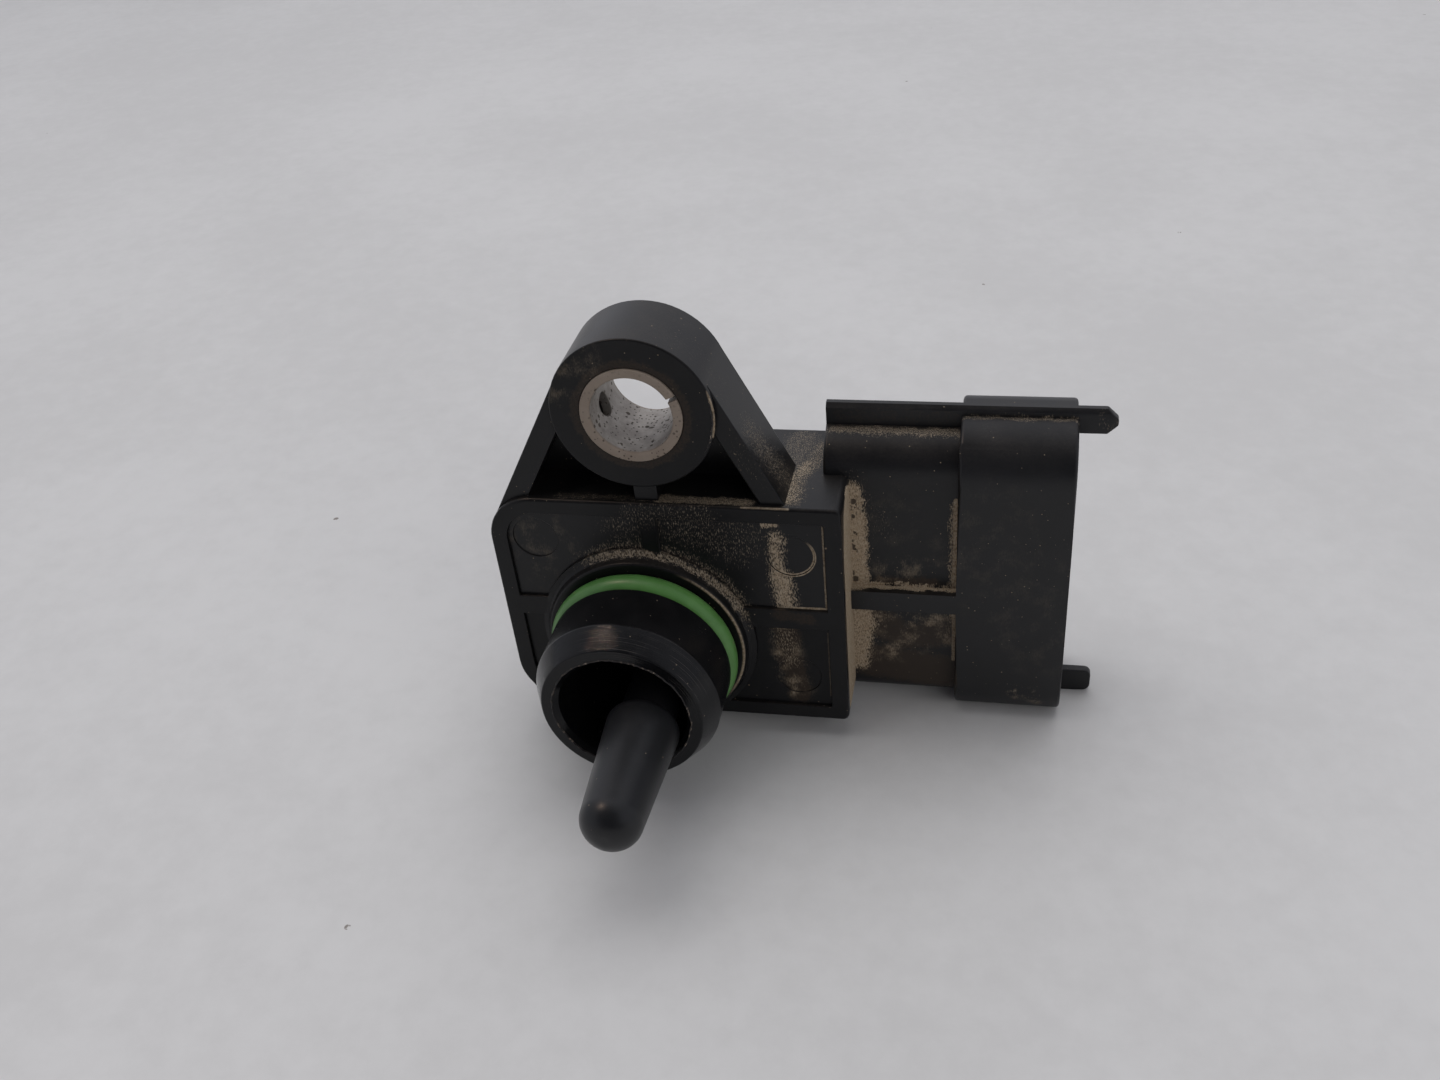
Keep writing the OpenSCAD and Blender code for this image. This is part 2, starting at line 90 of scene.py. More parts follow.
class Tree:
    """Short calls for building one material's nodes. Places are in mm."""

    def __init__(self, name):
        self.material = bpy.data.materials.new(name)
        self.material.use_nodes = True
        self.t = self.material.node_tree
        self.t.nodes.clear()
        self.bsdf = self.t.nodes.new("ShaderNodeBsdfPrincipled")
        out = self.t.nodes.new("ShaderNodeOutputMaterial")
        self.t.links.new(self.bsdf.outputs[0], out.inputs["Surface"])
        coords = self.t.nodes.new("ShaderNodeTexCoord").outputs["Object"]
        self.place = self.vec("SCALE", coords, scale=1 / MM)

    def node(self, kind, **settings):
        n = self.t.nodes.new(kind)
        for k, v in settings.items():
            setattr(n, k, v)
        return n

    def put(self, socket, value):
        if isinstance(value, bpy.types.NodeSocket):
            self.t.links.new(value, socket)
        elif value is not None:
            socket.default_value = value

    def math(self, op, a, b=None, clamp=False):
        n = self.node("ShaderNodeMath", operation=op, use_clamp=clamp)
        self.put(n.inputs[0], a)
        self.put(n.inputs[1], b)
        return n.outputs[0]

    def vec(self, op, a, b=None, c=None, scale=None):
        n = self.node("ShaderNodeVectorMath", operation=op)
        for s, v in zip(n.inputs, (a, b, c)):
            self.put(s, v)
        if scale is not None:
            self.put(n.inputs["Scale"], scale)
        single = op in ("DOT_PRODUCT", "LENGTH", "DISTANCE")
        return n.outputs["Value" if single else "Vector"]

    def axes(self, v):
        n = self.node("ShaderNodeSeparateXYZ")
        self.put(n.inputs[0], v)
        return n.outputs

    def span(self, v, low, high, out_low=0.0, out_high=1.0):
        n = self.node("ShaderNodeMapRange", interpolation_type="SMOOTHSTEP")
        for s, x in zip(("Value", "From Min", "From Max", "To Min", "To Max"),
                        (v, low, high, out_low, out_high)):
            self.put(n.inputs[s], x)
        return n.outputs[0]

    def noise(self, scale, detail=3.0, rough=0.55, at=None, stretch=None, output="Fac"):
        v = at or self.place
        if stretch:
            v = self.vec("MULTIPLY", v, stretch)
        n = self.node("ShaderNodeTexNoise")
        self.put(n.inputs["Vector"], v)
        self.put(n.inputs["Scale"], scale)
        self.put(n.inputs["Detail"], detail)
        self.put(n.inputs["Roughness"], rough)
        return n.outputs[output]

    def dots(self, spacing, radius, share):
        """Scattered round dots: 1 inside, with the given share of cells filled."""
        n = self.node("ShaderNodeTexVoronoi")
        self.put(n.inputs["Vector"], self.place)
        self.put(n.inputs["Scale"], 1 / spacing)
        rnd = self.axes(n.outputs["Color"])
        size = self.math("MULTIPLY", rnd[0], radius / spacing)
        d = self.math("SUBTRACT", n.outputs["Distance"], size)
        return self.math("MULTIPLY", self.span(d, 0.0, 0.25 * radius / spacing, 1, 0),
                         self.span(rnd[1], share, share + 0.02, 1, 0))

    def mix(self, fac, a, b):
        n = self.node("ShaderNodeMix", data_type="RGBA")
        self.put(n.inputs[0], fac)
        for s, v in ((n.inputs[6], a), (n.inputs[7], b)):
            self.put(s, (*v, 1) if isinstance(v, tuple) and len(v) == 3 else v)
        return n.outputs[2]

    def blend(self, fac, a, b):
        n = self.node("ShaderNodeMix", data_type="FLOAT")
        for i, v in ((0, fac), (2, a), (3, b)):
            self.put(n.inputs[i], v)
        return n.outputs[0]

    def bump(self, height, distance, normal=None):
        """Distance in metres for a height of 1."""
        n = self.node("ShaderNodeBump")
        self.put(n.inputs["Height"], height)
        self.put(n.inputs["Distance"], distance)
        self.put(n.inputs["Normal"], normal) if normal is not None else None
        return n.outputs[0]

    def set(self, **values):
        for k, v in values.items():
            if isinstance(v, tuple) and len(v) == 3:
                v = (*v, 1)
            self.put(self.bsdf.inputs[k.replace("_", " ")], v)

    def largest(self, values):
        best = None
        for v in values:
            best = v if best is None else self.math("MAXIMUM", best, v)
        return best

    def near(self, at, pts):
        """Distance in mm from a line through the points."""
        best = None
        for a, b in zip(pts, pts[1:] or pts):
            a, b = Vector(a), Vector(b)
            ba = b - a
            d = self.vec("SUBTRACT", at, tuple(a))
            if ba.length > 1e-6:
                h = self.vec("DOT_PRODUCT", d, tuple(ba / ba.length_squared))
                h = self.math("ADD", h, 0.0, clamp=True)
                d = self.vec("DISTANCE", d, self.vec("SCALE", tuple(ba), scale=h))
            else:
                d = self.vec("LENGTH", d)
            best = d if best is None else self.math("MINIMUM", best, d)
        return best

    def patch(self, at, pts, inner, outer, strength=1.0):
        return self.span(self.near(at, pts), inner, outer, strength, 0.0)

    def ring(self, at, centre, radius, y, inner, outer, strength=1.0):
        """A ring around an axis along Y."""
        x, yy, z = self.axes(self.vec("SUBTRACT", at, (centre[0], y, centre[1])))
        r = self.math("SQRT", self.math("ADD", self.math("MULTIPLY", x, x), self.math("MULTIPLY", z, z)))
        r = self.math("SUBTRACT", r, radius)
        d = self.math("SQRT", self.math("ADD", self.math("MULTIPLY", r, r), self.math("MULTIPLY", yy, yy)))
        return self.span(d, inner, outer, strength, 0.0)


# ---------------------------------------------------------------- plastic with its dust

TAN = (0.32, 0.235, 0.145)
SAND = (0.47, 0.385, 0.285)
BROWN = (0.046, 0.031, 0.020)


def plastic(name, caked=None, strokes=None, lines=None, dirt=None, smudges=None, holes=None, black=0.0062,
            rough=0.33, film=0.045, specks=1.3, specular=0.30, extra=None):
    """Black moulded plastic. Caked to holes give masks from (tree, place, wobbled place); holes bare the dust."""
    t = Tree(name)
    p = t.place
    wob = t.vec("SUBTRACT", t.noise(1.1, 3, output="Color"), (0.5, 0.5, 0.5))
    w = t.vec("MULTIPLY_ADD", wob, (1.1, 1.1, 1.1), p)
    fine = t.noise(4.5, 4, 0.65)
    grain = t.noise(9.0, 2)
    broad = t.noise(0.3, 4, 0.6)
    streak = t.noise(1.0, 4, 0.62, stretch=(10.5, 10.5, 3.6))

    def gather(make):
        return t.largest(make(t, p, w)) if make else None

    parts = []
    cake = gather(caked)
    if cake is not None:
        edge = t.math("ADD", cake, t.span(streak, 0.36, 0.64, -0.38, 0.38))
        solid = t.math("MULTIPLY", t.span(edge, 0.22, 0.98), t.span(grain, 0.3, 0.55, 0.75, 1.0))
        parts.append(t.math("MULTIPLY", t.math("MULTIPLY", solid, t.span(cake, 0.0, 0.12)), 0.9))
    stroke = gather(strokes)
    if stroke is not None:
        m = t.math("ADD", streak, t.math("MULTIPLY", stroke, 0.3))
        m = t.math("MULTIPLY", t.span(m, 0.66, 0.92), t.span(stroke, 0.0, 0.2))
        parts.append(t.math("MULTIPLY", m, 0.6))
    line = gather(lines)
    if line is not None:
        parts.append(t.math("MULTIPLY", line, t.span(fine, 0.3, 0.55, 0.55, 0.95)))
    smudge = gather(smudges)
    if smudge is not None:
        cloud = t.math("ADD", t.math("MULTIPLY", t.noise(0.55, 5, 0.62), 0.75), t.math("MULTIPLY", streak, 0.25))
        parts.append(t.math("MULTIPLY", t.math("MULTIPLY", t.span(cloud, 0.47, 0.68), smudge), 0.3))
    parts.append(t.math("MULTIPLY", t.dots(2.3, 0.085, 0.22 * specks), 0.5))
    parts.append(t.math("MULTIPLY", t.dots(0.5, 0.05, 0.42 * specks), 0.45))
    # A light dust film that is heavier on upward-facing faces; it also stands in for the sheen on top faces, so it
    # is partly a painted sheen.
    up = t.axes(t.node("ShaderNodeNewGeometry").outputs["Normal"])[2]
    top_dust_and_sheen = t.math("MULTIPLY", t.span(up, 0.2, 1.0, 0.15, 1.0), t.span(broad, 0.3, 0.75, 0.25, 1.0))
    parts.append(t.math("MULTIPLY", t.math("MULTIPLY", top_dust_and_sheen, t.span(fine, 0.3, 0.7, 0.4, 1.0)), film))
    dust = t.largest(parts)
    bare = gather(holes)
    if bare is not None:
        bare = t.math("MULTIPLY", t.dots(0.5, 0.36, 0.8), bare)
        dust = t.math("MULTIPLY", dust, t.math("SUBTRACT", 1.0, bare))

    base = t.mix(t.span(broad, 0.3, 0.7), (black * 0.85, black * 0.88, black * 0.97),
                 (black * 1.08, black * 1.12, black * 1.3))
    mud = gather(dirt)
    if mud is not None:
        edge = t.math("ADD", mud, t.math("MULTIPLY", t.math("SUBTRACT", fine, 0.5), 1.2))
        mud = t.math("MULTIPLY", t.span(edge, 0.3, 0.95), 0.6)
        base = t.mix(mud, base, BROWN)
    powder = t.mix(t.span(t.math("ADD", t.math("MULTIPLY", streak, 0.6), t.math("MULTIPLY", fine, 0.4)), 0.38, 0.62),
                   TAN, SAND)
    colour = t.mix(dust, base, powder)
    shine = t.math("ADD", t.math("MULTIPLY", t.math("SUBTRACT", broad, 0.5), 0.12), rough)
    shine = t.math("ADD", shine, t.math("MULTIPLY", t.math("SUBTRACT", fine, 0.5), 0.08))
    if mud is not None:
        shine = t.blend(mud, shine, 0.7)
    normal = t.bump(grain, 4e-6)
    normal = t.bump(t.math("MULTIPLY", dust, streak), 4e-5, normal)
    if extra:
        colour, shine, normal = extra(t, colour, shine, normal)
    t.set(Base_Color=colour, Roughness=t.blend(dust, shine, 0.85), Normal=normal, Specular_IOR_Level=specular)
    return t.material


def panel_caked(t, p, w):
    return [
        t.patch(w, [(11.7, 0.3, 11.0), (11.6, 0.3, 9.0), (11.9, 0.3, 7.2)], 0.0, 1.2, 0.85),
        t.patch(w, [(11.8, 0.3, 7.4), (12.1, 0.3, 5.6), (12.2, 0.3, 4.2)], 0.1, 1.5, 0.95),
        t.patch(w, [(10.8, 0.3, 12.3), (11.9, 0.3, 12.3)], 0.12, 0.45, 0.85),
    ]


def panel_strokes(t, p, w):
    x, y, z = t.axes(p)
    upper = t.span(t.math("ADD", z, t.math("MULTIPLY", x, 0.4)), 3.5, 8.0)
    return [
        t.math("MULTIPLY", t.ring(w, (0, 0), 9.5, 0.2, 0.2, 1.2, 0.7), upper),
        t.patch(w, [(-1.0, 0, 11.6), (3.0, 0, 11.8), (8.5, 0, 10.0)], 0.8, 3.4, 0.5),
        t.patch(w, [(5.2, 0, 12.6), (9.6, 0, 11.4)], 0.6, 2.4, 0.5),
    ]


def panel_lines(t, p, w):
    w2 = t.vec("MULTIPLY_ADD", t.vec("SUBTRACT", w, p), (0.06, 0.06, 0.06), p)
    x, y, z = t.axes(p)
    shown = t.span(t.math("ADD", x, t.math("MULTIPLY", z, -1.4)), -1.2, 0.6)
    return [
        t.math("MULTIPLY", t.ring(w2, (12.85, 9.3), 1.95, 0.35, 0.09, 0.19, 0.95), shown),
        t.patch(w2, [(15.6, 0.3, 12.5), (15.6, 0.3, 4.0), (12.6, 0.3, 3.95)], 0.07, 0.17, 0.95),
    ]


def panel_smudges(t, p, w):
    return [t.patch(w, [(-10.0, 0, 12.0), (-6.0, 0, 7.0)], 1.0, 5.0, 0.45)]


def low_caked(t, p, w):
    return [t.patch(w, [(11.8, 0.3, 1.2), (12.1, 0.3, -1.8)], 0.1, 1.7, 0.3)]


def low_lines(t, p, w):
    w2 = t.vec("MULTIPLY_ADD", t.vec("SUBTRACT", w, p), (0.06, 0.06, 0.06), p)
    return [t.patch(w2, [(15.6, 0.3, 1.4), (15.6, 0.3, -5.6)], 0.04, 0.14, 0.3)]


def low_dirt(t, p, w):
    return [t.patch(w, [(12.0, 0.3, 1.9), (12.2, 0.3, -1.8), (12.9, 0.3, -5.4)], 0.4, 2.0, 1.0)]


def low_smudges(t, p, w):
    return [t.patch(w, [(12.0, 0.3, 1.8), (12.2, 0.3, -2.2), (13.0, 0.3, -5.0)], 0.4, 1.9, 1.7)]


def rim_strokes(t, p, w):
    x, y, z = t.axes(p)
    upper = t.span(t.math("ADD", z, t.math("MULTIPLY", x, 0.4)), 3.5, 8.0)
    return [
        t.math("MULTIPLY", t.ring(w, (0, 0), 9.15, -0.1, 0.2, 0.7, 1.0), upper),
        t.patch(w, [(0.0, 0, 12.9), (6.0, 0, 13.2)], 0.6, 2.0, 0.5),
    ]


def rim_lines(t, p, w):
    w2 = t.vec("MULTIPLY_ADD", t.vec("SUBTRACT", w, p), (0.06, 0.06, 0.06), p)
    x, y, z = t.axes(p)
    side = t.math("MULTIPLY", t.span(x, 3.0, 6.5), t.span(z, -6.0, -3.0))
    return [
        t.patch(w2, [(7.5, 0, 24.6), (7.85, 0, 22.6), (7.6, 0, 20.6)], 0.08, 0.22, 0.7),
        t.patch(w2, [(9.2, 0.12, 14.1), (12.9, 0.12, 14.1)], 0.04, 0.18, 0.55),
        # Lighter line at the collar's front edge, on its right side only: partly light dust, partly a painted
        # highlight of the edge.
        t.math("MULTIPLY", t.ring(w2, (0, 0), 8.5, -1.0, 0.05, 0.2, 0.8), side),
    ]


def rim_dirt(t, p, w):
    return [
        t.patch(w, [(11.6, 0, 3.4), (14.2, 0, 3.0)], 0.3, 1.1, 0.7),
        t.ring(w, (BOLT_X, BOLT_Z), 4.4, 0, 0.2, 0.9, 0.7),
    ]


def rim_smudges(t, p, w):
    return [t.patch(w, [(-2.0, 0, 27.0), (-4.0, 0, 24.0)], 0.5, 2.5, 0.6)]


def shelf_caked(t, p, w):
    return [
        t.patch(w, [(12.9, 1.4, 14.1), (12.8, 4.4, 14.1), (13.6, 6.5, 14.1)], 0.0, 1.5, 0.6),
        t.patch(w, [(14.1, 6.6, 14.1), (14.4, 9.5, 14.1)], 0.0, 1.5, 0.45),
        t.math("MULTIPLY", t.patch(p, [(17.1, 3.6, 11.6), (17.1, 3.0, 9.0), (17.1, 3.0, -6.6)], 2.0, 2.35, 1.5),
               t.span(t.axes(p)[0], 16.8, 17.0)),
    ]


def shelf_strokes(t, p, w):
    return [
        t.patch(w, [(2.4, 0.8, 14.1), (9.6, 0.8, 14.1)], 0.3, 1.0, 1.1),
        t.patch(w, [(-6.0, 0.7, 14.1), (2.4, 0.8, 14.1)], 0.2, 0.9, 0.6),
        t.patch(w, [(12.0, 7.0, 14.1), (12.6, 10.5, 14.1)], 0.8, 2.4, 0.7),
    ]


def shelf_dirt(t, p, w):
    w2 = t.vec("MULTIPLY_ADD", t.vec("SUBTRACT", w, p), (0.25, 0.25, 0.25), p)
    return [t.patch(w2, [(17.1, 5.1, 12.6), (17.1, 5.1, -7.0)], 0.12, 0.34, 1.2)]


def body_strokes(t, p, w):
    return [
        t.patch(w, [(9.6, 2.6, 19.0), (11.8, 3.4, 15.2)], 0.4, 3.4, 0.65),
        t.patch(w, [(5.0, 2.4, 27.6), (8.2, 2.6, 23.0)], 0.5, 3.0, 0.2),
    ]


def neck_caked(t, p, w):
    return [
        t.patch(w, [(17.4, 5.15, 12.8), (17.7, 5.15, 10.0)], 0.25, 1.1, 1.0),
        t.patch(w, [(17.2, 4.3, 2.1), (18.1, 4.3, 2.3)], 0.3, 0.9, 1.0),
        t.patch(w, [(17.6, 5.15, 10.0), (17.5, 5.15, 3.2)], 0.55, 1.35, 1.15),
        t.patch(w, [(17.4, 5.15, 1.6), (17.9, 5.15, -1.6), (17.2, 5.15, -5.4)], 0.5, 1.8, 1.0),
        t.patch(w, [(17.6, 4.9, 3.2), (25.6, 4.9, 3.2)], 0.2, 0.5, 1.1),
        t.patch(w, [(18.8, 5.15, 0.9), (25.6, 5.15, 0.9), (25.7, 5.15, -0.6)], 0.1, 0.6, 0.8),
        t.patch(w, [(25.6, 5.15, 11.6), (25.5, 5.15, 7.0), (25.6, 5.15, 3.0)], 0.1, 0.6, 0.6),
    ]


def neck_strokes(t, p, w):
    return [
        t.patch(w, [(15.6, 7.7, 17.0), (25.8, 7.6, 17.0)], 0.2, 1.1, 0.85),
        t.patch(w, [(17.2, 5.15, 13.2), (19.8, 5.15, 9.0)], 0.5, 2.2, 0.35),
    ]


def neck_lines(t, p, w):
    w2 = t.vec("MULTIPLY_ADD", t.vec("SUBTRACT", w, p), (0.1, 0.1, 0.1), p)
    return [
        t.patch(w2, [(25.75, 4.95, 12.0), (25.75, 4.95, 2.8)], 0.26, 0.36, 0.95),
        t.patch(w2, [(25.75, 4.95, 1.3), (25.75, 4.95, -4.8)], 0.22, 0.32, 0.75),
    ]


def neck_dirt(t, p, w):
    w2 = t.vec("MULTIPLY_ADD", t.vec("SUBTRACT", w, p), (0.3, 0.3, 0.3), p)
    return [
        t.patch(w, [(18.6, 5.15, -0.5), (21.5, 5.15, -2.6), (24.8, 5.15, -1.8)], 0.8, 2.6, 0.85),
        t.patch(w, [(18.6, 5.15, -5.4), (24.8, 5.15, -6.4)], 1.0, 3.2, 1.0),
        t.patch(w, [(19.5, 5.15, 3.5), (24.0, 5.15, 3.7)], 0.15, 0.9, 0.9),
        t.patch(w, [(18.4, 4.3, 2.1), (24.6, 4.3, 2.1)], 0.4, 1.2, 0.55),
        t.patch(w2, [(17.45, 5.15, 11.8), (17.4, 5.15, 2.4)], 0.16, 0.3, 1.2),
    ]


def neck_holes(t, p, w):
    return [t.patch(p, [(17.45, 5.15, 11.8), (17.4, 5.15, 3.4)], 0.16, 0.3, 0.9)]


def neck_smudges(t, p, w):
    return [
        t.patch(w, [(19.0, 5.15, -5.0), (20.8, 5.15, -4.4), (23.0, 5.15, -3.0)], 0.4, 1.5, 1.7),
        t.patch(w, [(18.6, 5.15, -0.2), (25.0, 5.15, -1.2)], 0.8, 2.8, 1.8),
        t.patch(w, [(20.3, 5.15, 4.6), (23.4, 5.15, 4.6)], 0.5, 2.2, 1.0),
        t.patch(w, [(19.6, 5.15, 11.0), (23.6, 5.15, 7.0)], 1.0, 4.5, 0.16),
    ]


def shroud_strokes(t, p, w):
    return [
        t.patch(w, [(30.0, 8.1, 18.1), (34.8, 8.1, 18.1)], 0.1, 0.6, 0.75),
        t.patch(w, [(26.2, 8.1, 18.1), (30.0, 8.1, 18.1)], 0.1, 0.5, 0.7),
        t.patch(w, [(37.9, 8.4, 17.8), (37.5, 8.4, 16.8), (36.6, 8.4, 18.6)], 0.1, 0.7, 0.5),
    ]


def shroud_dirt(t, p, w):
    return [t.patch(w, [(16.0, 8.3, 17.9), (25.0, 8.3, 17.9)], 0.4, 0.9, 0.45)]


def shroud_smudges(t, p, w):
    return [
        t.patch(w, [(27.0, 4.05, 11.0), (33.6, 4.05, 0.0)], 2.0, 7.0, 0.16),
        t.patch(w, [(31.2, 4.05, -7.0), (33.4, 4.05, -8.0)], 0.2, 1.3, 2.2),
    ]


def port_turning_with_painted_glints(t, colour, shine, normal):
    """Fine turning lines and higher gloss on the land, taper and lip; lighter lines on the taper's upper right are
    painted highlights of the turning lines.
    """
    x, y, z = t.axes(t.place)
    r = t.math("SQRT", t.math("ADD", t.math("MULTIPLY", x, x), t.math("MULTIPLY", z, z)))
    along = t.math("ADD", r, y)
    n = t.node("ShaderNodeTexNoise", noise_dimensions="1D")
    t.put(n.inputs["W"], along)
    t.put(n.inputs["Scale"], 7.0)
    t.put(n.inputs["Detail"], 4.0)
    t.put(n.inputs["Roughness"], 0.7)
    taper = t.span(y, -7.75, -7.68, 1.0, 0.0)
    upper = t.span(t.math("ADD", z, t.math("MULTIPLY", x, 0.3)), 3.0, 6.0)
    lines = t.math("MULTIPLY", n.outputs["Fac"], t.math("MULTIPLY", taper, t.blend(upper, 0.3, 1.0)))
    normal = t.bump(lines, 1.4e-5, normal)
    # Painted highlights: lighter lines on the upper right of the taper, where the turning lines catch the light.
    fine = t.math("MULTIPLY", t.span(n.outputs["Fac"], 0.56, 0.64), t.span(t.noise(0.5, 4, 0.6), 0.4, 0.6))
    right = t.span(t.math("SUBTRACT", t.math("MULTIPLY", x, 0.6), t.math("MULTIPLY", z, -0.8)), 2.5, 6.0)
    fine = t.math("MULTIPLY", t.math("MULTIPLY", fine, taper), right)
    colour = t.mix(t.math("MULTIPLY", fine, 0.5), colour, (0.085, 0.075, 0.068))
    shine = t.math("SUBTRACT", shine, t.math("MULTIPLY", taper, 0.15))
    return colour, shine, normal


# ---------------------------------------------------------------- mesh helpers

def new_object(name, mesh, slot_name=None, stands_for=(), material=None):
    obj = bpy.data.objects.new(name, mesh)
    scene.collection.objects.link(obj)
    if material:
        mesh.materials.append(material)
    if slot_name:
        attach(obj, "root")
    if stands_for:
        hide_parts(*stands_for)
    return obj


def from_bmesh(bm, name):
    bmesh.ops.recalc_face_normals(bm, faces=bm.faces)
    mesh = bpy.data.meshes.new(name)
    bm.to_mesh(mesh)
    bm.free()
    return mesh


def cad_bmesh(node_name):
    bm = bmesh.new()
    bm.from_mesh(nodes[node_name].data)
    bmesh.ops.remove_doubles(bm, verts=bm.verts, dist=1e-6)
    bmesh.ops.dissolve_limit(bm, angle_limit=math.radians(0.5), verts=bm.verts, edges=bm.edges)
    return bm


def round_edges(bm, width):
    """Rounds the convex edges that width(edge) gives a size in mm; the other sharp edges stay sharp."""
    keep = bm.edges.layers.int.new("keep")
    groups = {}
    for e in bm.edges:
        if not e.is_manifold or e.calc_face_angle() < math.radians(18):
            continue
        w = width(e) if e.is_convex and e.calc_face_angle() > math.radians(25) else 0
        if w:
            groups.setdefault(w, []).append(e)
        else:
            e[keep] = 1
    for w, edges in sorted(groups.items(), reverse=True):
        edges = [e for e in edges if e.is_valid]
        bmesh.ops.bevel(bm, geom=edges, offset=w * MM, segments=3, profile=0.5,
                        affect="EDGES", clamp_overlap=False, miter_outer="ARC")
    for f in bm.faces:
        f.smooth = True
    for e in bm.edges:
        e.smooth = not (e.is_manifold and (e[keep] or e.calc_face_angle() > math.radians(40)))


def even_shading(obj):
    m = obj.modifiers.new("even_shading", "WEIGHTED_NORMAL")
    m.keep_sharp = True
    m.weight = 80


def lathe(bm, profile, steps, cx, cz):
    """Turns a closed profile of (radius, y) points around an axis along Y."""
    columns = []
    poles = {i: bm.verts.new((cx * MM, y * MM, cz * MM)) for i, (r, y) in enumerate(profile) if r < 1e-6}
    for k in range(steps):
        a = 2 * math.pi * k / steps
        ca, sa = math.cos(a), math.sin(a)
        columns.append([poles.get(i) or bm.verts.new(((cx + r * ca) * MM, y * MM, (cz + r * sa) * MM))
                        for i, (r, y) in enumerate(profile)])
    for k in range(steps):
        c0, c1 = columns[k], columns[(k + 1) % steps]
        for i in range(len(profile)):
            j = (i + 1) % len(profile)
            corners = []
            for v in (c0[i], c0[j], c1[j], c1[i]):
                if v not in corners:
                    corners.append(v)
            if len(corners) > 2:
                bm.faces.new(corners)


def arc(cx, cy, r, a0, a1, steps):
    return [(cx + r * math.cos(math.radians(a0 + (a1 - a0) * i / steps)),
             cy + r * math.sin(math.radians(a0 + (a1 - a0) * i / steps))) for i in range(steps + 1)]


# ---------------------------------------------------------------- housing

def housing_width(e):
    """Radius of the rounding of an edge of the housing, in mm."""
    a, b = (v.co / MM for v in e.verts)
    m = (a + b) / 2
    r = math.hypot(m.x, m.z)
    for x, y, z in (a, b):
        room = BODY_LEFT + 3 < x < BODY_RIGHT - 1.5 and 2.1 < y < BODY_BACK - 0.3
        room = room and BODY_BOTTOM + 1.5 < z < BODY_TOP - 1.5
        socket = 21 < x < SHROUD_END - 0.3 and 5.2 < y < 12.3 and -9.2 < z < 17
        slots = 14.9 < x < 22.5 and 8 < y < 9.5
        if room or socket or slots:
            return 0
    if m.y < -0.05:
        return 0.09 if r > 6.5 else 0
    if m.y < 0.05 and r < 9.6:
        return 0
    if m.y > 2 and r < 6:
        return 0
    if math.hypot(m.x - BOLT_X, m.z - BOLT_Z) < BUSH_R + 0.1:
        return 0.12
    if m.x > 16.5 and (m.z > 16.4 and 8.2 < m.y < 9.3 or m.x > SHROUD_END + 0.1):
        return 0.12
    if abs(m.y) < 0.35 and -11.3 < m.x < 15.8 and -6.9 < m.z < 12.8:
        return 0.08
    if m.z > BODY_TOP + 0.1 and m.x < 14 or m.x < -11 or abs(m.z - 2.1) < 1.2 and m.x > BODY_RIGHT and m.y < 4.6:
        return 0.16
    return 0.3


def region(x, y, z, front):
    """Number of the material at a place of the housing; front is true where the surface faces the manifold."""
    r = math.hypot(x, z)
    if y < -1.0 and r < 8.6 or y < 0.6 and r < 6 and not front:
        return 1
    if x > SHROUD_START + 0.2 or z > BODY_TOP + 3.4 and x > 14.5:
        return 5
    if x > BODY_RIGHT + 0.05 or x > 14.5 and z > BODY_TOP + 0.1:
        return 2
    if y < 0.45:
        if front and y > 0.2 and z < BODY_TOP:
            return 3 if z > 2.1 else 6
        return 7
    if z > BODY_TOP - 0.4 and z < BODY_TOP + 0.05 or x > BODY_RIGHT - 0.3:
        return 4
    return 0


def make_housing():
    bm = cad_bmesh("housing")
    round_edges(bm, housing_width)
    for f in bm.faces:
        f.material_index = region(*(f.calc_center_median() / MM), f.normal.y < -0.9)
    mesh = from_bmesh(bm, "housing_shell")
    obj = new_object("housing_shell", mesh, "housing_plastic", ["housing"])
    # The housing is one black moulding, but its base black is tuned per region: darker on the rim and the low panel
    # as painted shade, and lighter on the shroud as painted light.
    for material in (
            plastic("body_plastic", strokes=body_strokes, black=0.0055),
            plastic("port_plastic", black=0.0055, rough=0.24, film=0.01, specks=0.7, specular=0.25,
                    extra=port_turning_with_painted_glints),
            plastic("neck_plastic", neck_caked, neck_strokes, neck_lines, neck_dirt, neck_smudges, neck_holes,
                    rough=0.40, specks=1.6, specular=0.38),
            plastic("panel_plastic", panel_caked, panel_strokes, panel_lines, None, panel_smudges),
            plastic("shelf_plastic", shelf_caked, shelf_strokes, dirt=shelf_dirt, film=0.03),
            plastic("shroud_plastic", None, shroud_strokes, None, shroud_dirt, shroud_smudges, black=0.0075,
                    rough=0.42, film=0.03, specks=0.7, specular=0.42),
            plastic("low_plastic", low_caked, None, low_lines, low_dirt, low_smudges, black=0.005, specular=0.22),
            plastic("rim_plastic", None, rim_strokes, rim_lines, rim_dirt, rim_smudges, black=0.005, specular=0.24)):
        mesh.materials.append(material)
    even_shading(obj)


make_housing()


# ---------------------------------------------------------------- bush, ring, probe

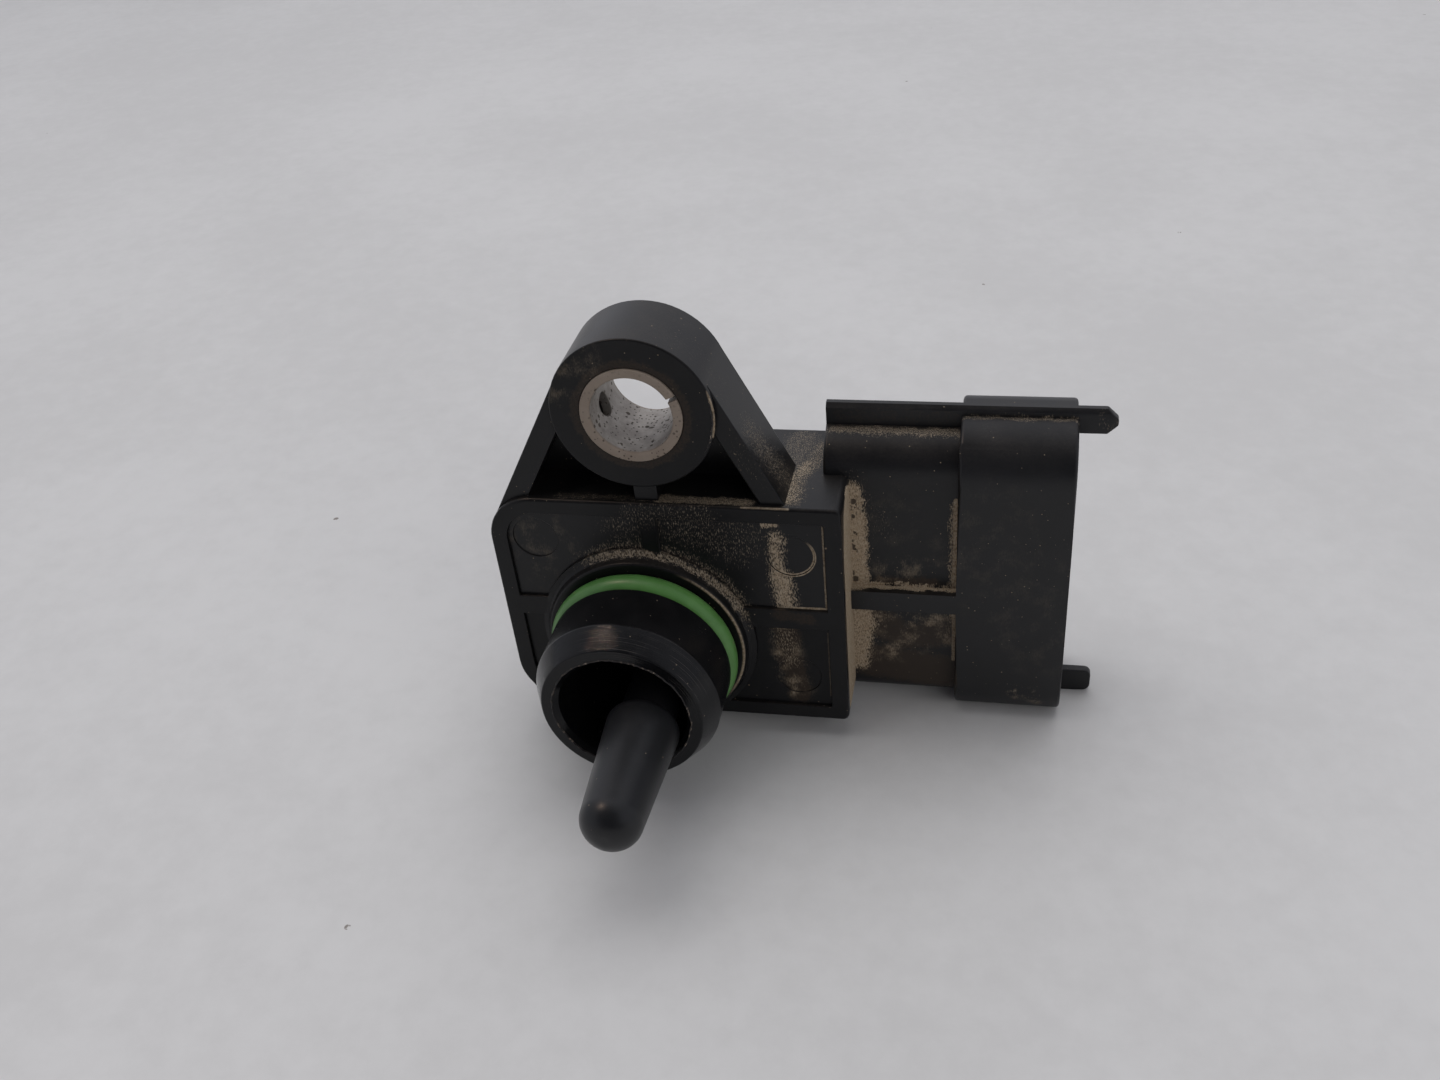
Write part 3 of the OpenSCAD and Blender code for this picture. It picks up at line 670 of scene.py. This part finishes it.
def steel(name):
    t = Tree(name)
    x, y, z = t.axes(t.place)
    broad, fine = t.noise(0.7, 4, 0.6), t.noise(6.0, 3)
    brushed = t.noise(1.0, 3, stretch=(3, 14, 3))
    colour = t.mix(t.span(broad, 0.3, 0.7), (0.27, 0.245, 0.22), (0.40, 0.37, 0.335))
    ends = t.largest([t.span(y, -0.15, 0.45, 1, 0), t.span(y, 6.2, 6.75)])
    rust = t.math("ADD", ends, t.math("MULTIPLY", t.math("SUBTRACT", fine, 0.5), 0.9))
    rust = t.math("MULTIPLY", t.span(rust, 0.35, 0.9), 0.75)
    colour = t.mix(rust, colour, (0.26, 0.20, 0.15))
    low = t.span(z, 24.0, 19.5, 0.25, 1.0)
    pits = t.largest([t.dots(0.6, 0.17, 0.6), t.math("MULTIPLY", t.dots(0.3, 0.10, 0.8), low)])
    colour = t.mix(t.math("MULTIPLY", pits, 0.8), colour, (0.045, 0.030, 0.020))
    rough = t.blend(t.largest([rust, pits]), t.span(brushed, 0.3, 0.7, 0.42, 0.58), 0.8)
    normal = t.bump(t.math("SUBTRACT", t.math("ADD", brushed, fine), pits), 9e-6)
    t.set(Base_Color=colour, Roughness=rough, Normal=normal,
          Metallic=t.blend(t.largest([rust, pits]), 0.6, 0.1))
    return t.material


def make_bush():
    bm = cad_bmesh("mounting_bush")

    def width(e):
        a, b = (v.co / MM for v in e.verts)
        at_end = min(a.y, b.y) < 0 or max(a.y, b.y) > 6.6
        inner = math.hypot(a.x - BOLT_X, a.z - BOLT_Z) < 3.5
        along = abs(a.y - b.y) > 0.5
        return (0.2 if inner else 0.1) if at_end and not along else 0.06

    round_edges(bm, width)
    obj = new_object("bush_rolled", from_bmesh(bm, "bush_rolled"), "bush_steel", ["mounting_bush"],
                     steel("rolled_steel"))
    even_shading(obj)


make_bush()


def rubber(name):
    t = Tree(name)
    broad, fine = t.noise(0.6, 3), t.noise(7.0, 3)
    colour = t.mix(t.span(broad, 0.3, 0.7), (0.070, 0.185, 0.044), (0.088, 0.220, 0.057))
    bits = t.largest([t.math("MULTIPLY", t.dots(1.2, 0.09, 0.35), 0.7),
                      t.math("MULTIPLY", t.span(fine, 0.66, 0.76), 0.25)])
    colour = t.mix(bits, colour, TAN)
    t.set(Base_Color=colour, Roughness=t.blend(bits, t.span(broad, 0.3, 0.7, 0.33, 0.43), 0.8),
          Normal=t.bump(fine, 8e-6))
    return t.material


def make_ring():
    bm = bmesh.new()
    lathe(bm, arc(RING_MID_R, RING_Y, RING_TUBE_R, 0, 360, 36)[:-1], 144, 0, 0)
    for f in bm.faces:
        f.smooth = True
    new_object("seal_ring", from_bmesh(bm, "seal_ring"), "seal_rubber", ["port_seal_ring"],
               rubber("green_rubber"))


make_ring()


def make_probe():
    bore, stem, root, tip, shoulder, tip_round = 1.3, 2.3, 3.05, 2.5, 0.9, 2.2
    wall, bead_y, shoulder_y = 2.2, -PROBE_LEN + 2.6, -PORT_LEN + 0.35
    profile = [(bore, wall), (stem, wall), (stem, shoulder_y + 0.02)]
    profile += arc(root - shoulder, shoulder_y - shoulder, shoulder, 75, 0, 10)
    steps = 12
    y0, y1 = shoulder_y - shoulder, -PROBE_LEN + tip_round
    profile += [(root + (tip - root) * i / steps, y0 + (y1 - y0) * i / steps) for i in range(1, steps)]
    profile += arc(tip - tip_round, y1, tip_round, 0, -90, 20)
    profile += [(0, -PROBE_LEN), (0, bead_y), (bore, bead_y)]
    bm = bmesh.new()
    lathe(bm, profile, 96, PROBE_X, PROBE_Z)
    bmesh.ops.remove_doubles(bm, verts=bm.verts, dist=1e-7)
    for f in bm.faces:
        f.smooth = True
    for e in bm.edges:
        e.smooth = not (e.is_manifold and e.calc_face_angle() > math.radians(35))
    new_object("probe_finger", from_bmesh(bm, "probe_finger"), "probe_plastic", ["probe_sleeve"],
               plastic("probe_black", black=0.009, rough=0.34, film=0.01, specks=0.5, specular=0.40))


make_probe()


# ---------------------------------------------------------------- flash of the moulding

def flash_strip(bm, place, start, end, steps, closed):
    """A thin ragged fin; place(angle, out, y) gives a point from the angle in degrees."""
    rows = []
    lean = 0.0
    for k in range(steps + (0 if closed else 1)):
        a = start + (end - start) * k / steps
        fade = 1 if closed else math.sin(math.pi * (k + 0.3) / (steps + 0.6)) ** 0.5
        lean = 0.75 * lean + random.uniform(-0.035, 0.035)
        tall = random.uniform(0.04, 0.13) * fade
        wide = random.uniform(0.05, 0.10) * fade
        rows.append([bm.verts.new(place(a, *q)) for q in
                     ((lean - wide, 0.03), (lean - 0.3 * wide, -tall), (lean + 0.4 * wide, -0.7 * tall),
                      (lean + wide, 0.03))])
    for k in range(len(rows) if closed else len(rows) - 1):
        r0, r1 = rows[k], rows[(k + 1) % len(rows)]
        for i in range(4):
            bm.faces.new((r0[i], r0[(i + 1) % 4], r1[(i + 1) % 4], r1[i]))
    if not closed:
        bm.faces.new(rows[0])
        bm.faces.new(rows[-1])


def make_flash():
    t = Tree("flash_edge")
    n = t.noise(2.2, 4, 0.65)
    colour = t.mix(t.span(n, 0.52, 0.66), (0.016, 0.014, 0.014), (0.26, 0.21, 0.165))
    t.set(Base_Color=colour, Roughness=t.span(n, 0.3, 0.7, 0.45, 0.8), Normal=t.bump(n, 1e-5))

    def around(cx, cz, r, y):
        def place(a, out, dy):
            c, s = math.cos(math.radians(a)), math.sin(math.radians(a))
            return Vector((cx + (r + out) * c, y + dy, cz + (r + out) * s)) * MM
        return place

    for name, centre, r, y, a0, a1, steps, closed in (
            ("flash_mouth", (0, 0), MOUTH_R, -PORT_LEN, 0, 360, 150, True),
            ("flash_boss", (BOLT_X, BOLT_Z), BOSS_R - 0.22, -0.0, 14, -32, 34, False)):
        bm = bmesh.new()
        flash_strip(bm, around(*centre, r, y), a0, a1, steps, closed)
        new_object(name, from_bmesh(bm, name), "housing_plastic", material=t.material)


make_flash()


# ---------------------------------------------------------------- finishes of the other nodes

def finish(name, low, high, rough, metal=0.0, scale=3.0, depth=6e-6, stretch=None, **more):
    t = Tree(name)
    broad, fine = t.noise(scale, 4, 0.6, stretch=stretch), t.noise(scale * 5, 3)
    colour = t.mix(t.span(broad, 0.3, 0.7), low, high)
    t.set(Base_Color=colour, Metallic=metal, Roughness=t.span(broad, 0.25, 0.75, rough - 0.06, rough + 0.06),
          Normal=t.bump(t.math("ADD", broad, fine), depth), **more)
    return t.material


def tinned_ends(name, low, high, along, centre, half):
    """Small chip part with a coloured middle and tinned ends."""
    t = Tree(name)
    n = t.noise(4.0, 3)
    d = t.math("ABSOLUTE", t.math("SUBTRACT", t.axes(t.place)[along], centre))
    end = t.span(d, half * 0.62, half * 0.66)
    colour = t.mix(end, t.mix(t.span(n, 0.3, 0.7), low, high), t.mix(n, (0.5, 0.49, 0.46), (0.66, 0.65, 0.62)))
    t.set(Base_Color=colour, Metallic=end, Roughness=t.span(n, 0.3, 0.7, 0.32, 0.5), Normal=t.bump(n, 6e-6))
    return t.material


def paint_nodes():
    black = plastic("cover_black", rough=0.46, film=0.06, specks=0.8)
    looks = {
        "back_cover": black,
        "cover_adhesive": finish("black_adhesive", (0.008, 0.008, 0.009), (0.014, 0.014, 0.015), 0.3, scale=1.5,
                                 depth=4e-5),
        "thermistor": finish("bead_glass", (0.36, 0.08, 0.03), (0.5, 0.15, 0.06), 0.14, scale=2.0),
        "circuit_board": finish("solder_mask", (0.018, 0.11, 0.05), (0.03, 0.16, 0.075), 0.35, scale=1.6),
        "pressure_cell": finish("cell_body", (0.58, 0.54, 0.46), (0.68, 0.64, 0.56), 0.55, scale=4.0),
        "pressure_die": finish("polished_silicon", (0.05, 0.055, 0.08), (0.09, 0.10, 0.13), 0.12, metal=0.6),
        "cell_seal": finish("soft_silicone", (0.44, 0.44, 0.42), (0.54, 0.54, 0.51), 0.6, scale=2.0),
        "signal_chip": finish("chip_moulding", (0.013, 0.013, 0.014), (0.022, 0.022, 0.024), 0.6, scale=6.0),
    }
    wire = finish("tinned_wire", (0.52, 0.50, 0.45), (0.64, 0.62, 0.57), 0.28, metal=1.0, stretch=(4, 0.6, 4))
    blade = finish("tinned_blade", (0.48, 0.45, 0.38), (0.62, 0.59, 0.52), 0.3, metal=1.0, stretch=(0.5, 4, 4))
    for name, obj in nodes.items():
        look = looks.get(name)
        if name.startswith("thermistor_lead"):
            look = wire
        elif name.startswith("terminal"):
            look = blade
        elif name.startswith("capacitor") or name.startswith("resistor"):
            low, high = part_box(name)
            x0, x1 = low[0] / MM, high[0] / MM
            tan = name.startswith("capacitor")
            look = tinned_ends(name + "_look", (0.30, 0.19, 0.09) if tan else (0.015, 0.015, 0.016),
                               (0.42, 0.28, 0.15) if tan else (0.03, 0.03, 0.033), 0, (x0 + x1) / 2, (x1 - x0) / 2)
        if look is None:
            look = black
        obj.data.materials.clear()
        obj.data.materials.append(look)


paint_nodes()


# ---------------------------------------------------------------- stage and light

def make_stage():
    t = Tree("floor_surface")
    n, m = t.noise(0.02, 3, 0.5), t.noise(0.35, 5, 0.65)
    tone = t.math("ADD", t.math("MULTIPLY", n, 0.6), t.math("MULTIPLY", m, 0.4))
    colour = t.mix(t.span(tone, 0.35, 0.65), (0.525, 0.515, 0.505), (0.575, 0.565, 0.555))
    crumbs = t.math("MULTIPLY", t.dots(9.0, 0.32, 0.3), t.span(t.noise(1.5, 3), 0.45, 0.55))
    colour = t.mix(t.math("MULTIPLY", crumbs, 0.8), colour, (0.13, 0.10, 0.08))
    t.set(Base_Color=colour, Roughness=0.62)
    mesh = bpy.data.meshes.new("floor")
    s, z = 3.0, FLOOR_Z * MM
    mesh.from_pydata([(-s, -s, z), (s, -s, z), (s, s, z), (-s, s, z)], [], [(0, 1, 2, 3)])
    new_object("floor", mesh, material=t.material)

    world = bpy.data.worlds.new("world")
    scene.world = world
    world.use_nodes = True
    wt = world.node_tree
    back = wt.nodes["Background"]
    place = wt.nodes.new("ShaderNodeTexCoord").outputs["Generated"]

    def toward(direction, wide, narrow):
        d = wt.nodes.new("ShaderNodeVectorMath")
        d.operation = "DOT_PRODUCT"
        d.inputs[1].default_value = Vector(direction).normalized()
        wt.links.new(place, d.inputs[0])
        r = wt.nodes.new("ShaderNodeMapRange")
        r.interpolation_type = "SMOOTHSTEP"
        r.inputs["From Min"].default_value = math.cos(math.radians(wide))
        r.inputs["From Max"].default_value = math.cos(math.radians(narrow))
        wt.links.new(d.outputs["Value"], r.inputs["Value"])
        return r.outputs[0]

    # The darker front side of the room and the bright wall behind
    dark = wt.nodes.new("ShaderNodeMath")
    dark.operation = "MAXIMUM"
    wt.links.new(toward((0.03, -0.74, 0.67), 50, 30), dark.inputs[0])
    wt.links.new(toward((0.2, -0.97, 0.05), 52, 24), dark.inputs[1])
    wall = wt.nodes.new("ShaderNodeMix")
    wall.data_type = "RGBA"
    wall.inputs[6].default_value = (0.44, 0.45, 0.50, 1)
    wall.inputs[7].default_value = (0.70, 0.71, 0.77, 1)
    wt.links.new(toward((-0.2, 0.79, 0.55), 60, 20), wall.inputs[0])
    tone = wt.nodes.new("ShaderNodeMix")
    tone.data_type = "RGBA"
    wt.links.new(wall.outputs[2], tone.inputs[6])
    tone.inputs[7].default_value = (0.05, 0.05, 0.065, 1)
    wt.links.new(dark.outputs[0], tone.inputs[0])
    wt.links.new(tone.outputs[2], back.inputs[0])

    def area(name, place, target, size, power, colour=(1, 1, 1)):
        d = bpy.data.lights.new(name, "AREA")
        d.shape = "RECTANGLE"
        d.size, d.size_y = size
        d.energy = power
        d.color = colour
        o = bpy.data.objects.new(name, d)
        scene.collection.objects.link(o)
        o.location = place
        o.rotation_mode = "QUATERNION"
        o.rotation_quaternion = (Vector(target) - Vector(place)).to_track_quat("-Z", "Y")
        return o

    area("lamp_top", (-0.08, 0.14, 0.6), (0.01, 0.01, 0), (0.8, 0.55), 2.45).visible_glossy = False
    area("lamp_fill", (0.42, -0.42, 0.30), (0.01, 0.0, 0), (0.5, 0.5), 1.1).visible_glossy = False
    area("lamp_warm", (-0.235, -0.03, 0.44), (0, -0.009, 0.007), (0.012, 0.012), 0.32, (1, 0.72, 0.55)).visible_diffuse = False


make_stage()
scene.view_settings.view_transform = "Standard"
